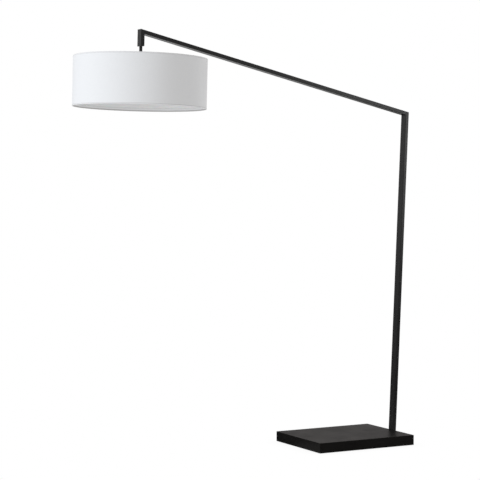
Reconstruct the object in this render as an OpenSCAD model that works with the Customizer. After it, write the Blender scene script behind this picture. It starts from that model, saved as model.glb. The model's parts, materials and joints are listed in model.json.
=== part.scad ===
// Arc floor lamp: a weighted block base, a rectangular tube that stands at the base's end and turns
// back over it in a mitred arm, and a fabric drum shade that hangs from the arm's short drop.
// Frame: origin at the middle of the base's underside, +X towards the pole, +Z up, millimetres.

/* [Base] */
// Length of the base block, along the arm
base_len = 598; // [580:1:599]
// Width of the base block
base_wid = 466; // [430:1:500]
// Thickness of the base block without its floor pad
base_th = 54; // [53:0.5:60]
// Thickness of the base block's top panel
base_top_th = 12; // [10:0.5:12]
// Thickness of the base block's side walls
base_wall = 18; // [16:1:18]
// Thickness of the felt pad under the base
pad_th = 2; // [1:0.5:3]
// How far the felt pad stops short of the base's edges
pad_inset = 7; // [4:1:12]
// Length of one ballast slab
ballast_len = 210; // [160:1:212]
// Width of a ballast slab
ballast_wid = 300; // [200:1:320]
// Thickness of a ballast slab
ballast_th = 24; // [16:1:28]

/* [Tube] */
// Width of the tube's narrow faces
tube_t = 20; // [20:0.5:22]
// Width of the tube's wide faces
tube_w = 46; // [46:0.5:50]
// Wall thickness of the tube
tube_wall = 1.5; // [1.2:0.1:1.5]
// Outer corner radius of the tube
tube_r = 2; // [1.8:0.1:2.5]

/* [Pole and arm] */
// Distance of the pole's axis from the base's centre, at the level of the base's top
pole_x = 313.7; // [313.5:0.1:316]
// Lean of the pole away from the base
pole_lean = 2.5; // [2:0.1:3]
// Height of the corner where the pole's and the arm's axes meet
elbow_z = 1817; // [1600:1:1900]
// Height on the pole, from the base's top, at which its two lengths meet
pole_split = 860; // [700:1:1100]
// Rise of the arm above the horizontal
arm_rise = 13.3; // [8:0.1:20]
// Length of the arm's axis
arm_len = 1662; // [1400:1:1700]
// Distance along the arm at which its two lengths meet
arm_split = 830; // [700:1:1000]
// Length of the drop below the corner at the arm's tip
drop_len = 73.9; // [72:0.1:90]
// Lean of the drop, the stem and the shade
drop_lean = 1.5; // [0:0.1:2.5]

/* [Shade] */
// Outer radius of the drum shade
shade_r = 342; // [300:1:360]
// Height of the drum shade
shade_h = 255; // [240:1:300]
// Length of stem showing between the drop and the shade's top
stem_show = 57.5; // [40:0.5:80]
// Diameter of the stem
stem_d = 16; // [14:0.5:18]
// Thickness of the shade's stiff liner
liner_th = 1.2; // [0.8:0.1:1.5]
// Thickness of the shade's cloth
cloth_th = 0.8; // [0.5:0.1:1]
// Radius of the rolled hem at the shade's rims
hem_r = 2.8; // [2.6:0.1:3.2]
// How far the spider's hub sits below the top hem
hub_drop = 8.7; // [5:0.1:20]

/* [Lamp holder] */
// Radius of the lamp holder's shell
holder_r = 17; // [17:0.5:19]
// Radius of the bulb's diffuser dome
dome_r = 30; // [28:0.5:32]

/* [Hidden] */

fine = 64;                 // facets of large round parts
mid = 32;                  // facets of small round parts
slack = 0.1;               // play left between parts that slip together
base_top = pad_th + base_th;
cavity_top = base_top - base_top_th;
panel_th = 6;              // thickness of the base's bottom panel
cavity_x = base_len / 2 - base_wall;
cavity_y = base_wid / 2 - base_wall;
block_size = 36;           // side of the blocks that the bottom panel screws into
ballast_gap = 10;          // gap between the two ballast slabs
block_x = cavity_x - block_size / 2;
block_y = cavity_y - block_size / 2;
block_spots = [for (x = [-1, 0, 1], y = [-1, 1]) [x * block_x, y * block_y]];
panel_screw_len = 20;
panel_screw_r = 1.8;
panel_hole_r = 2;
pilot_r = 1.9;             // radius of the pilot holes for wood screws
pilot_len = 22;            // depth of the panel screws' pilot holes
top_pilot = 9;             // depth of the holes in the underside of the top panel
ballast_bolt_r = 3;
ballast_head_r = 5;
ballast_head_h = 4;
top_grip = 8;              // how far bolts and screws reach into the top panel
ballast_bolt_spots = [for (x = [-1, 1], y = [-1, 1]) [x * ballast_len / 4, y * ballast_wid / 3]];

inner_t = tube_t - 2 * tube_wall;
inner_w = tube_w - 2 * tube_wall;
inner_r = tube_r - tube_wall;
key_t = inner_t - 4 * slack;
key_w = inner_w - 4 * slack;
key_r = 0.8;               // edge radius of the joiners
key_leg = 70;              // length of a corner plate's long legs
key_slot = 14;             // gap between two corner plates, where the lead runs
plate_w = (key_w - key_slot) / 2;
joiner_half = 80;          // half the length of a joiner
joiner_bore = 5;           // radius of the lead's way through a joiner
drop_key_leg = 28;         // length of the corner plates' legs inside the drop

elbow = [pole_x + (elbow_z - base_top) * tan(pole_lean), 0, elbow_z];
pole_run = (elbow_z - base_top) / cos(pole_lean);
tip = elbow + arm_len * [-cos(arm_rise), 0, sin(arm_rise)];
drop_end = tip - drop_len * [sin(drop_lean), 0, cos(drop_lean)];
elbow_normal = 135 - (pole_lean + arm_rise) / 2;   // direction of the elbow's mitre normal, in XZ
tip_normal = 225 - (arm_rise + drop_lean) / 2;     // direction of the tip's mitre normal, in XZ

pole_foot = -49.5;         // lower end of the pole, along it from the base's top
plug_stub = 5;             // how far the end plug reaches into the pole
plug_flange = 2;
nut_plate_lo = -44;
nut_plate_hi = -12;
nut_plate_th = 6;
bolt_y = 12;               // half the distance between the pole's bolts, across
bolt_z = [base_top - 39, base_top - 24];           // heights of the pole's bolts
bolt_r = 4;
bolt_len = 36;
bolt_head_r = 6.5;
bolt_head_h = 5;
bolt_socket_r = 2.9;
bolt_socket_h = 3;
bracket_th = 5;
bracket_half = 60;         // half the width of the anchor bracket
bracket_leg = 50;          // length of the bracket's leg under the top panel
bracket_screw_r = 1.8;
bracket_head_r = 3.5;
bracket_head_h = 2.5;
bracket_screw_x = cavity_x - bracket_leg + 15;
bracket_screw_spots = [for (y = [-45, -15, 15, 45]) [bracket_screw_x, y]];
spacer_low = 6;            // how far the spacer's lower end sits above the base's underside
spacer_high = 4;           // how far the spacer's upper end sits below the base's top
gland_z = -25;             // place of the cord gland, along the pole from the base's top
gland_bore = 3.6;
gland_body = 5.5;
gland_in = 5;              // how far the gland reaches inside the pole's wall
gland_out = 2;
gland_flange_r = 8;
gland_nut_r = 6.7;

grub_r = 2.5;
grub_len = 7;
grub_y = 14;               // half the distance between a pair of grub screws
grub_inset = 20;           // distance of a grub screw from a joiner's end
grub_below = 0.2;          // how far a grub screw sits below the tube's face
grub_socket_r = 1.4;
grub_socket_h = 3;
corner_grub = key_leg - 12;                        // grub screws' distance from a corner, along a long leg
drop_grub = drop_len - drop_key_leg + 8;           // height of the grub screws in the drop
mitre_spare = 30;          // length past a corner that the mitre cuts away

lead_r = 2.8;
lead_bend = 15;            // bend radius of the lead at the corners
lead_steps = 8;            // steps of the lead around one corner
lead_sides = 10;
lead_from = 160;           // where the lead leaves its connector, along the pole
lead_to = 50;              // where the lead ends, above the drop's lower end
pole_connector = [12, 22, 44];                     // size of the connector in the pole
drop_connector_r = 6;
drop_connector_z = 33;     // lower end of the connector in the drop

nipple_r = 5;
nipple_bore = 3.5;
nipple_top = 24;
nipple_below = 12;         // how far the nipple reaches below the lamp holder's top
plate_th = 5;
bush_r = 6.5;
bush_flange_r = 7.5;
bush_flange_th = 1.2;
run_gap = 0.06;            // running clearance of the swivel and of the switch's shaft
face_gap = 0.3;            // gap between faces that turn past each other
washer_z = plate_th + bush_flange_th + face_gap;
washer_th = 1.2;
washer_r = 7.2;
nut_z = washer_z + washer_th;
nut_h = 6;
swivel_nut_w = 14;
hub_nut_w = 17;

shade_top = -stem_show;
shade_bottom = shade_top - shade_h;
hem_ring_r = shade_r - cloth_th - liner_th + 0.2;
ring_wire_r = 1.75;
hub_z = shade_top - hem_r - hub_drop;              // middle of the hub
hub_th = 4;
hub_r = 17;
rod_r = 2.2;
rod_in = 12;               // radius at which the spider's rods start, inside the hub
spider_angles = [90, 210, 330];

cap_top = hub_z - hub_th / 2 - nut_h - 3;
cap_h = 24;
shell_top = cap_top - cap_h;
stem_lead_z = shell_top + 6;                       // lower end of the lead in the stem
shell_len = 40;
shell_wall = 1.5;
block_h = 11;              // height of the switch block inside the holder
shaft_z = shell_top - block_h / 2 - 0.5;
shaft_r = 1.5;
shaft_in = 5;              // where the switch's shaft starts, from the holder's axis
knob_from = 27;
knob_len = 13;
knob_r = 6;
contact_z = shell_top - block_h - 1;
contact_r = 4;
screw_r = 13.6;
screw_wall = 0.4;
bulb_cap_r = 12.9;
bulb_cap_top = contact_z - 3;
bulb_cap_h = 26;
collar_top = bulb_cap_top - bulb_cap_h;
collar_h = 32;
dome_cut = 0.73 * dome_r;  // height above the dome's centre at which the collar takes over
dome_wall = 1;
dome_neck_r = sqrt(dome_r * dome_r - dome_cut * dome_cut);
dome_z = collar_top - collar_h - dome_cut;

// Colours
black_paint = [0.13, 0.13, 0.13];
black_wood = [0.11, 0.10, 0.09];
black_plastic = [0.08, 0.08, 0.08];
grey_felt = [0.1, 0.1, 0.1];
cast_iron = [0.25, 0.25, 0.26];
brown_board = [0.3, 0.22, 0.16];
bare_steel = [0.62, 0.62, 0.63];
yellow_brass = [0.75, 0.6, 0.3];
pale_brass = [0.8, 0.65, 0.35];
brown_resin = [0.2, 0.1, 0.06];
cream_nylon = [0.9, 0.88, 0.8];
grey_nylon = [0.85, 0.85, 0.82];
white_cloth = [0.95, 0.95, 0.93];
white_liner = [0.98, 0.98, 0.97];
white_plastic = [0.93, 0.93, 0.92];
white_diffuser = [0.97, 0.97, 0.95];

// ---------- frames ----------

// The pole's frame: origin on its axis level with the base's top, z up along the pole
module at_pole() translate([pole_x, 0, base_top]) rotate([0, pole_lean, 0]) children();

// The arm's frame: origin at the elbow, z along the arm, x up out of its top face
module at_arm() translate(elbow) rotate([0, arm_rise - 90, 0]) children();

// The drop's frame: origin at the drop's lower end, z up along the drop and the stem
module at_drop() translate(drop_end) rotate([0, drop_lean, 0]) children();

// ---------- shared shapes ----------

module round_rect(t, w, r) {
    square([t - 2 * r, w], center = true);
    square([t, w - 2 * r], center = true);
    for (x = [-1, 1], y = [-1, 1])
        translate([x * (t / 2 - r), y * (w / 2 - r)]) circle(r, $fn = 24);
}

module bar(z0, z1, t, w, r)
    translate([0, 0, z0]) linear_extrude(z1 - z0) round_rect(t, w, r);

module tube(z0, z1) difference() {
    bar(z0, z1, tube_t, tube_w, tube_r);
    bar(z0 - 1, z1 + 1, inner_t, inner_w, inner_r);
}

// A block on the side of a mitre plane that the plane's normal points to
module beyond(corner, normal)
    translate(corner) rotate([0, 90 - normal, 0]) translate([-60, -60, 0]) cube(120);

module ring(z, h, r_out, r_in) translate([0, 0, z]) difference() {
    cylinder(h = h, r = r_out, $fn = fine);
    translate([0, 0, -1]) cylinder(h = h + 2, r = r_in, $fn = fine);
}

// Cylinders that run out through the face on the +x side, in pairs across the tube
module side_holes(zs, r, from = 0) for (z = zs, y = [-grub_y, grub_y])
    translate([from, y, z]) rotate([0, 90, 0]) cylinder(h = tube_t, r = r, $fn = 24);

module grub_screws(zs) for (z = zs, y = [-grub_y, grub_y])
    translate([tube_t / 2 - grub_below - grub_len, y, z]) rotate([0, 90, 0]) difference() {
        cylinder(h = grub_len, r = grub_r, $fn = 24);
        translate([0, 0, grub_len - grub_socket_h])
            cylinder(h = grub_socket_h + 1, r = grub_socket_r, $fn = 6);
    }

module grub_pockets(zs)
    side_holes(zs, grub_r + slack / 2, tube_t / 2 - grub_below - slack - grub_len);

module joiner(z) difference() {
    bar(z - joiner_half, z + joiner_half, key_t, key_w, key_r);
    translate([0, 0, z - joiner_half - 1])
        cylinder(h = 2 * joiner_half + 2, r = joiner_bore, $fn = mid);
    grub_pockets(joiner_screw_zs(z));
}

function joiner_screw_zs(z) = [z - joiner_half + grub_inset, z + joiner_half - grub_inset];

// A countersunk screw pointing up, its head's face at z = 0
module wood_screw(len, r) {
    cylinder(h = r, r1 = 2 * r, r2 = r, $fn = mid);
    translate([0, 0, r]) cylinder(h = len - 2 * r, r = r, $fn = mid);
    translate([0, 0, len - r]) cylinder(h = r, r1 = r, r2 = 0.4, $fn = mid);
}

module nut(z, h, across, bore) translate([0, 0, z]) difference() {
    cylinder(h = h, r = across / 2 / cos(30), $fn = 6);
    translate([0, 0, -1]) cylinder(h = h + 2, r = bore, $fn = mid);
}

// ---------- base ----------

module floor_pad() color(grey_felt)
    translate([-base_len / 2 + pad_inset, -base_wid / 2 + pad_inset, 0])
        cube([base_len - 2 * pad_inset, base_wid - 2 * pad_inset, pad_th]);

module base_block() color(black_wood) difference() {
    translate([-base_len / 2, -base_wid / 2, pad_th]) cube([base_len, base_wid, base_th]);
    difference() {
        translate([-cavity_x, -cavity_y, pad_th - 1])
            cube([2 * cavity_x, 2 * cavity_y, cavity_top - pad_th + 1]);
        for (p = block_spots)
            translate([p.x - block_size / 2, p.y - block_size / 2, pad_th + panel_th])
                cube([block_size, block_size, cavity_top]);
    }
    for (p = block_spots)
        translate([p.x, p.y, pad_th]) cylinder(h = pilot_len, r = pilot_r, $fn = mid);
    for (side = [-1, 1], p = ballast_bolt_spots)
        translate([p.x + side * (ballast_len + ballast_gap) / 2, p.y, cavity_top - 1])
            cylinder(h = top_pilot + 1, r = ballast_bolt_r + slack, $fn = mid);
    for (p = bracket_screw_spots)
        translate([p.x, p.y, cavity_top - 1]) cylinder(h = top_pilot + 1, r = pilot_r, $fn = mid);
    pole_bolt_holes(cavity_x - 1, base_wall + 2, bolt_r + 4 * slack);
}

module ballast_slab(side) color(cast_iron)
    translate([side * (ballast_len + ballast_gap) / 2, 0, cavity_top - ballast_th]) difference() {
        translate([-ballast_len / 2, -ballast_wid / 2, 0])
            cube([ballast_len, ballast_wid, ballast_th]);
        for (p = ballast_bolt_spots)
            translate([p.x, p.y, -1])
                cylinder(h = ballast_th + 2, r = ballast_bolt_r + 4 * slack, $fn = mid);
    }

module ballast_slab_left() ballast_slab(-1);

module ballast_slab_right() ballast_slab(1);

module ballast_bolts() color(bare_steel) for (side = [-1, 1], p = ballast_bolt_spots)
    translate([p.x + side * (ballast_len + ballast_gap) / 2, p.y, cavity_top - ballast_th]) {
        translate([0, 0, -ballast_head_h]) cylinder(h = ballast_head_h, r = ballast_head_r, $fn = 6);
        cylinder(h = ballast_th + top_grip, r = ballast_bolt_r, $fn = mid);
    }

module base_bottom_panel() color(brown_board) difference() {
    translate([slack - cavity_x, slack - cavity_y, pad_th])
        cube([2 * (cavity_x - slack), 2 * (cavity_y - slack), panel_th]);
    for (p = block_spots) translate([p.x, p.y, pad_th - 0.01]) {
        cylinder(h = panel_hole_r, r1 = 2 * panel_hole_r, r2 = panel_hole_r, $fn = mid);
        cylinder(h = panel_th + 1, r = panel_hole_r, $fn = mid);
    }
}

module bottom_panel_screws() color(bare_steel)
    for (p = block_spots)
        translate([p.x, p.y, pad_th + 2 * slack]) wood_screw(panel_screw_len, panel_screw_r);

module anchor_bracket() color(bare_steel) difference() {
    union() {
        translate([cavity_x - bracket_th, -bracket_half, pad_th + panel_th + 1])
            cube([bracket_th, 2 * bracket_half, cavity_top - pad_th - panel_th - 1]);
        translate([cavity_x - bracket_leg, -bracket_half, cavity_top - bracket_th])
            cube([bracket_leg, 2 * bracket_half, bracket_th]);
    }
    pole_bolt_holes(cavity_x - bracket_th - 1, bracket_th + 2, bolt_r + 2 * slack);
    for (p = bracket_screw_spots)
        translate([p.x, p.y, cavity_top - bracket_th - 1])
            cylinder(h = bracket_th + 2, r = bracket_screw_r + 2 * slack, $fn = mid);
}

module bracket_screws() color(bare_steel) for (p = bracket_screw_spots)
    translate([p.x, p.y, cavity_top - bracket_th]) {
        translate([0, 0, -bracket_head_h]) cylinder(h = bracket_head_h, r = bracket_head_r, $fn = mid);
        cylinder(h = bracket_th + top_grip, r = bracket_screw_r, $fn = mid);
    }

// ---------- pole's foot ----------

module pole_bolt_holes(x, len, r) for (y = [-bolt_y, bolt_y], z = bolt_z)
    translate([x, y, z]) rotate([0, 90, 0]) cylinder(h = len, r = r, $fn = mid);

// Fills the wedge between the base's upright end and the leaning pole
module taper_spacer() color(black_paint) difference() {
    translate([base_len / 2, 1 - tube_w / 2, pad_th + spacer_low])
        cube([tube_t / 2, tube_w - 2, base_th - spacer_low - spacer_high]);
    at_pole() translate([-tube_t / 2, -tube_w, -2 * base_th]) cube([2 * tube_t, 2 * tube_w, 3 * base_th]);
    pole_bolt_holes(base_len / 2 - 1, tube_t, bolt_r + 2 * slack);
}

module pole_bolts() color(bare_steel) for (y = [-bolt_y, bolt_y], z = bolt_z)
    translate([cavity_x - bracket_th, y, z]) rotate([0, 90, 0]) {
        translate([0, 0, -bolt_head_h]) difference() {
            cylinder(h = bolt_head_h, r = bolt_head_r, $fn = mid);
            translate([0, 0, -1]) cylinder(h = bolt_socket_h + 1, r = bolt_socket_r, $fn = 6);
        }
        cylinder(h = bolt_len, r = bolt_r, $fn = mid);
    }

module pole_nut_plate() color(bare_steel) difference() {
    at_pole() translate([-inner_t / 2, inner_r - key_w / 2, nut_plate_lo])
        cube([nut_plate_th, key_w - 2 * inner_r, nut_plate_hi - nut_plate_lo]);
    pole_bolt_holes(base_len / 2, tube_t, bolt_r + slack / 2);
}

module pole_end_plug() color(black_plastic) at_pole() {
    bar(pole_foot - plug_flange, pole_foot, tube_t, tube_w, tube_r);
    bar(pole_foot - 0.5, pole_foot + plug_stub, inner_t - slack, inner_w - slack, inner_r);
}

module cord_gland() color(black_plastic) at_pole() translate([tube_t / 2, 0, gland_z]) rotate([0, 90, 0]) {
    ring(0, gland_out, gland_flange_r, gland_bore);
    ring(-tube_wall, tube_wall, gland_body - slack, gland_bore);
    ring(-tube_wall - gland_in, gland_in, gland_nut_r, gland_bore);
}

// ---------- pole ----------

module pole_lower() color(black_paint) difference() {
    at_pole() difference() {
        tube(pole_foot, pole_split);
        side_holes([pole_split - joiner_half + grub_inset], grub_r + slack);
        translate([0, 0, gland_z]) rotate([0, 90, 0]) cylinder(h = tube_t, r = gland_body, $fn = mid);
    }
    pole_bolt_holes(base_len / 2 - 1, tube_t / 2, bolt_r + 2 * slack);
}

module pole_upper() color(black_paint) difference() {
    at_pole() difference() {
        tube(pole_split, pole_run + mitre_spare);
        side_holes([pole_split + joiner_half - grub_inset, pole_run - corner_grub], grub_r + slack);
    }
    beyond(elbow, elbow_normal);
}

module pole_joiner() color(bare_steel) at_pole() joiner(pole_split);

module pole_joiner_screws() color(bare_steel) at_pole() grub_screws(joiner_screw_zs(pole_split));

// ---------- elbow ----------

// The outline in XZ of a mitred corner whose legs run in the directions a and b, a the larger angle
function corner_outline(corner, a, b, leg_a, leg_b, half) = let (
    c = [corner.x, corner.z],
    reach = half / sin((a - b) / 2) * [cos((a + b) / 2), sin((a + b) / 2)],
    end_a = c + leg_a * [cos(a), sin(a)],
    end_b = c + leg_b * [cos(b), sin(b)],
    side_a = half * [-sin(a), cos(a)],
    side_b = half * [-sin(b), cos(b)]
) [end_a + side_a, c - reach, end_b - side_b, end_b + side_b, c + reach, end_a - side_a];

// A pair of flat plates along the two sides of a corner, with the lead's slot between them
module corner_plates(corner, a, b, leg_a, leg_b) for (y = [key_slot / 2 + plate_w, -key_slot / 2])
    translate([0, y, 0]) rotate([90, 0, 0]) linear_extrude(plate_w)
        polygon(corner_outline(corner, a, b, leg_a, leg_b, key_t / 2));

module elbow_plates() color(bare_steel) difference() {
    corner_plates(elbow, 270 - pole_lean, 180 - arm_rise, key_leg, key_leg);
    at_pole() grub_pockets([pole_run - corner_grub]);
    at_arm() grub_pockets([corner_grub]);
}

module elbow_screws() color(bare_steel) {
    at_pole() grub_screws([pole_run - corner_grub]);
    at_arm() grub_screws([corner_grub]);
}

// ---------- arm ----------

module arm_rear() color(black_paint) difference() {
    at_arm() difference() {
        tube(-mitre_spare, arm_split);
        side_holes([corner_grub, arm_split - joiner_half + grub_inset], grub_r + slack);
    }
    beyond(elbow, elbow_normal + 180);
}

module arm_front() color(black_paint) difference() {
    at_arm() difference() {
        tube(arm_split, arm_len + mitre_spare);
        side_holes([arm_split + joiner_half - grub_inset, arm_len - corner_grub], grub_r + slack);
    }
    beyond(tip, tip_normal);
}

module arm_joiner() color(bare_steel) at_arm() joiner(arm_split);

module arm_joiner_screws() color(bare_steel) at_arm() grub_screws(joiner_screw_zs(arm_split));

// ---------- tip and drop ----------

module tip_plates() color(bare_steel) difference() {
    corner_plates(tip, 360 - arm_rise, 270 - drop_lean, key_leg, drop_key_leg);
    at_arm() grub_pockets([arm_len - corner_grub]);
    at_drop() grub_pockets([drop_grub]);
}

module tip_screws() color(bare_steel) {
    at_arm() grub_screws([arm_len - corner_grub]);
    at_drop() grub_screws([drop_grub]);
}

module drop_tube() color(black_paint) difference() {
    at_drop() difference() {
        tube(0, drop_len + mitre_spare);
        side_holes([drop_grub], grub_r + slack);
    }
    beyond(tip, tip_normal + 180);
}

module drop_end_plate() color(black_paint) at_drop() difference() {
    bar(0, plate_th, inner_t - slack, inner_w - slack, inner_r);
    translate([0, 0, -1]) cylinder(h = plate_th + 2, r = bush_r + slack / 2, $fn = fine);
}

module swivel_bush() color(cream_nylon) at_drop() {
    ring(0, plate_th, bush_r, nipple_r + run_gap);
    ring(plate_th, bush_flange_th, bush_flange_r, nipple_r + run_gap);
}

// ---------- wiring ----------

module lead_connector() color(grey_nylon) at_pole() difference() {
    bar(lead_from - pole_connector.z, lead_from, pole_connector.x, pole_connector.y, 1.5);
    for (y = [-5, 5])
        translate([0, y, lead_from - pole_connector.z - 1]) cylinder(h = 16, r = 2, $fn = mid);
}

function corner_arc(corner, a_in, a_out) = let (
    turn = a_out - a_in,
    back = lead_bend * tan(turn / 2),
    start = [corner.x, corner.z] - back * [cos(a_in), sin(a_in)],
    centre = start + lead_bend * [-sin(a_in), cos(a_in)]
) [for (k = [0:lead_steps]) let (a = a_in + turn * k / lead_steps)
    concat(centre + lead_bend * [sin(a), -cos(a)], a)];

pole_dir = 90 - pole_lean;
arm_dir = 180 - arm_rise;
drop_dir = 270 - drop_lean;
lead_path = concat(
    [[pole_x + lead_from * sin(pole_lean), base_top + lead_from * cos(pole_lean), pole_dir]],
    corner_arc(elbow, pole_dir, arm_dir),
    corner_arc(tip, arm_dir, drop_dir),
    [[drop_end.x + lead_to * sin(drop_lean), drop_end.z + lead_to * cos(drop_lean), drop_dir]]
);

// Sweeps a round section along a path in the XZ plane, given as [x, z, direction]
module sweep(path, r, sides) polyhedron(
    points = [for (q = path, j = [0:sides - 1]) let (b = 360 * j / sides)
        [q[0] - r * cos(b) * sin(q[2]), r * sin(b), q[1] + r * cos(b) * cos(q[2])]],
    faces = concat(
        [[for (j = [sides - 1:-1:0]) j]],
        [for (i = [0:len(path) - 2], j = [0:sides - 1]) let (k = (j + 1) % sides)
            [i * sides + k, (i + 1) * sides + k, (i + 1) * sides + j, i * sides + j]],
        [[for (j = [0:sides - 1]) (len(path) - 1) * sides + j]]
    )
);

module inner_lead() color(black_plastic) sweep(lead_path, lead_r, lead_sides);

module drop_connector() color(grey_nylon) at_drop() translate([0, 0, drop_connector_z])
    cylinder(h = lead_to - drop_connector_z, r = drop_connector_r, $fn = mid);

module stem_lead() color(black_plastic) at_drop() translate([0, 0, stem_lead_z])
    cylinder(h = drop_connector_z - 1 - stem_lead_z, r = lead_r, $fn = mid);

// ---------- swivel and stem ----------

module swivel_washer() color(bare_steel) at_drop()
    ring(washer_z, washer_th, washer_r, nipple_r + slack);

module swivel_nut() color(yellow_brass) at_drop()
    nut(nut_z, nut_h, swivel_nut_w, nipple_r + slack / 2);

module threaded_nipple() color(yellow_brass) at_drop()
    ring(cap_top - nipple_below, nipple_top - cap_top + nipple_below, nipple_r, nipple_bore);

module stem_sleeve() color(black_paint) at_drop()
    ring(hub_z + hub_th / 2, -face_gap - hub_z - hub_th / 2, stem_d / 2, nipple_r + slack);

// ---------- shade frame ----------

// A spider rod's solid, from the hub out to the ring's wire
module rod(angle, r, from) let (
    run = hem_ring_r - ring_wire_r - from,
    rise = hub_drop * run / (hem_ring_r - rod_in)
) rotate([0, 0, angle]) translate([from, 0, hub_z])
    rotate([0, 90 - atan2(hub_drop, hem_ring_r - rod_in), 0])
        cylinder(h = norm([run, rise]), r = r, $fn = mid);

module spider_hub() color(bare_steel) at_drop() difference() {
    ring(hub_z - hub_th / 2 - 1, hub_th + 1, hub_r, nipple_r + slack);
    for (a = spider_angles) rod(a, rod_r + slack / 2, rod_in);
}

module spider_arms() color(bare_steel) at_drop() for (a = spider_angles) rod(a, rod_r, rod_in);

module hoop(z, r) translate([0, 0, z])
    rotate_extrude($fn = 96) translate([hem_ring_r, 0]) circle(r, $fn = 24);

module top_ring() color(bare_steel) at_drop()
    hoop(shade_top - hem_r, ring_wire_r - slack / 2);

module bottom_ring() color(bare_steel) at_drop()
    hoop(shade_bottom + hem_r, ring_wire_r - slack / 2);

module top_hem() color(white_cloth) at_drop() difference() {
    hoop(shade_top - hem_r, hem_r);
    hoop(shade_top - hem_r, ring_wire_r);
}

module bottom_hem() color(white_cloth) at_drop() difference() {
    hoop(shade_bottom + hem_r, hem_r);
    hoop(shade_bottom + hem_r, ring_wire_r);
}

// The wall of the drum between the two hems
module drum(r_out, th) translate([0, 0, shade_bottom + 2 * hem_r]) difference() {
    cylinder(h = shade_h - 4 * hem_r, r = r_out, $fn = 96);
    translate([0, 0, -1]) cylinder(h = shade_h, r = r_out - th, $fn = 96);
}

module shade_liner() color(white_liner) at_drop() drum(shade_r - cloth_th, liner_th);

module shade_cloth() color(white_cloth) at_drop() drum(shade_r, cloth_th);

// ---------- lamp holder ----------

module hub_nut() color(yellow_brass) at_drop()
    nut(hub_z - hub_th / 2 - 1 - nut_h, nut_h, hub_nut_w, nipple_r + slack / 2);

module holder_cap() color(black_plastic) at_drop() translate([0, 0, cap_top])
    rotate_extrude($fn = fine) polygon([
        [nipple_r + slack / 2, 0], [8, 0], [8, -8], [13, -10], [holder_r - 1, -14], [holder_r, -18],
        [holder_r, -cap_h], [holder_r - 1.6, -cap_h], [holder_r - 1.6, -18], [12, -13],
        [nipple_r + slack / 2, -12.5]
    ]);

module holder_shell() color(black_plastic) at_drop() difference() {
    ring(shell_top - shell_len, shell_len, holder_r, holder_r - shell_wall);
    translate([0, 0, shaft_z]) rotate([90, 0, 0]) cylinder(h = holder_r + 5, r = shaft_r + 0.4, $fn = mid);
}

module switch_block() color(brown_resin) at_drop() difference() {
    translate([0, 0, shell_top - 0.5 - block_h])
        cylinder(h = block_h, r = holder_r - shell_wall - slack, $fn = fine);
    translate([0, 1 - shaft_in, shaft_z]) rotate([90, 0, 0])
        cylinder(h = holder_r, r = shaft_r + run_gap, $fn = mid);
}

module screw_shell() color(pale_brass) at_drop()
    ring(bulb_cap_top - bulb_cap_h + 2, bulb_cap_h - 1, screw_r, screw_r - screw_wall);

module centre_contact() color(pale_brass) at_drop()
    translate([0, 0, bulb_cap_top + 0.2])
        cylinder(h = contact_z - bulb_cap_top, r = contact_r, $fn = mid);

// ---------- bulb ----------

module bulb_cap() color(bare_steel) at_drop() translate([0, 0, bulb_cap_top]) rotate_extrude($fn = fine)
    polygon([
        [0, 0], [3.5, 0], [9, -3], [bulb_cap_r, -5], [bulb_cap_r, -bulb_cap_h], [0, -bulb_cap_h]
    ]);

module bulb_collar() color(white_plastic) at_drop() translate([0, 0, collar_top])
    rotate_extrude($fn = fine) polygon([
        [0, 0], [bulb_cap_r + 0.6, 0], [dome_neck_r, -collar_h], [dome_neck_r - 1.5, -collar_h],
        [bulb_cap_r - 1, -2], [0, -2]
    ]);

module bulb_dome() color(white_diffuser) at_drop() translate([0, 0, dome_z]) difference() {
    sphere(dome_r, $fn = fine);
    sphere(dome_r - dome_wall, $fn = fine);
    translate([-dome_r, -dome_r, dome_cut]) cube(2 * dome_r);
}

// ---------- switch ----------

module switch_shaft() color(bare_steel) at_drop() translate([0, -shaft_in, shaft_z]) rotate([90, 0, 0])
    cylinder(h = knob_from + 2 - shaft_in, r = shaft_r, $fn = mid);

module switch_knob() color(black_plastic) at_drop() translate([0, -knob_from, shaft_z])
    rotate([90, 0, 0]) difference() {
        cylinder(h = knob_len, r = knob_r, $fn = fine);
        translate([0, 0, -1]) cylinder(h = 3.1, r = shaft_r + slack / 2, $fn = mid);
        for (a = [0:30:330]) rotate([0, 0, a]) translate([knob_r + 0.4, 0, 2])
            cylinder(h = knob_len, r = 1, $fn = 16);
    }

floor_pad();
base_block();
ballast_slab_left();
ballast_slab_right();
ballast_bolts();
base_bottom_panel();
bottom_panel_screws();
anchor_bracket();
bracket_screws();
taper_spacer();
pole_bolts();
pole_nut_plate();
pole_lower();
pole_upper();
pole_joiner();
pole_joiner_screws();
pole_end_plug();
cord_gland();
lead_connector();
inner_lead();
elbow_plates();
elbow_screws();
arm_rear();
arm_front();
arm_joiner();
arm_joiner_screws();
tip_plates();
tip_screws();
drop_tube();
drop_end_plate();
swivel_bush();
drop_connector();
swivel_washer();
swivel_nut();
threaded_nipple();
stem_sleeve();
stem_lead();
spider_hub();
spider_arms();
top_ring();
bottom_ring();
top_hem();
bottom_hem();
shade_liner();
shade_cloth();
hub_nut();
holder_cap();
holder_shell();
switch_block();
screw_shell();
centre_contact();
bulb_cap();
bulb_collar();
bulb_dome();
switch_shaft();
switch_knob();
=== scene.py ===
"""Looks of the arc floor lamp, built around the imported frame."""

import json
import math

import bmesh
import bpy
import numpy as np
from mathutils import Matrix, Vector


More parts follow.
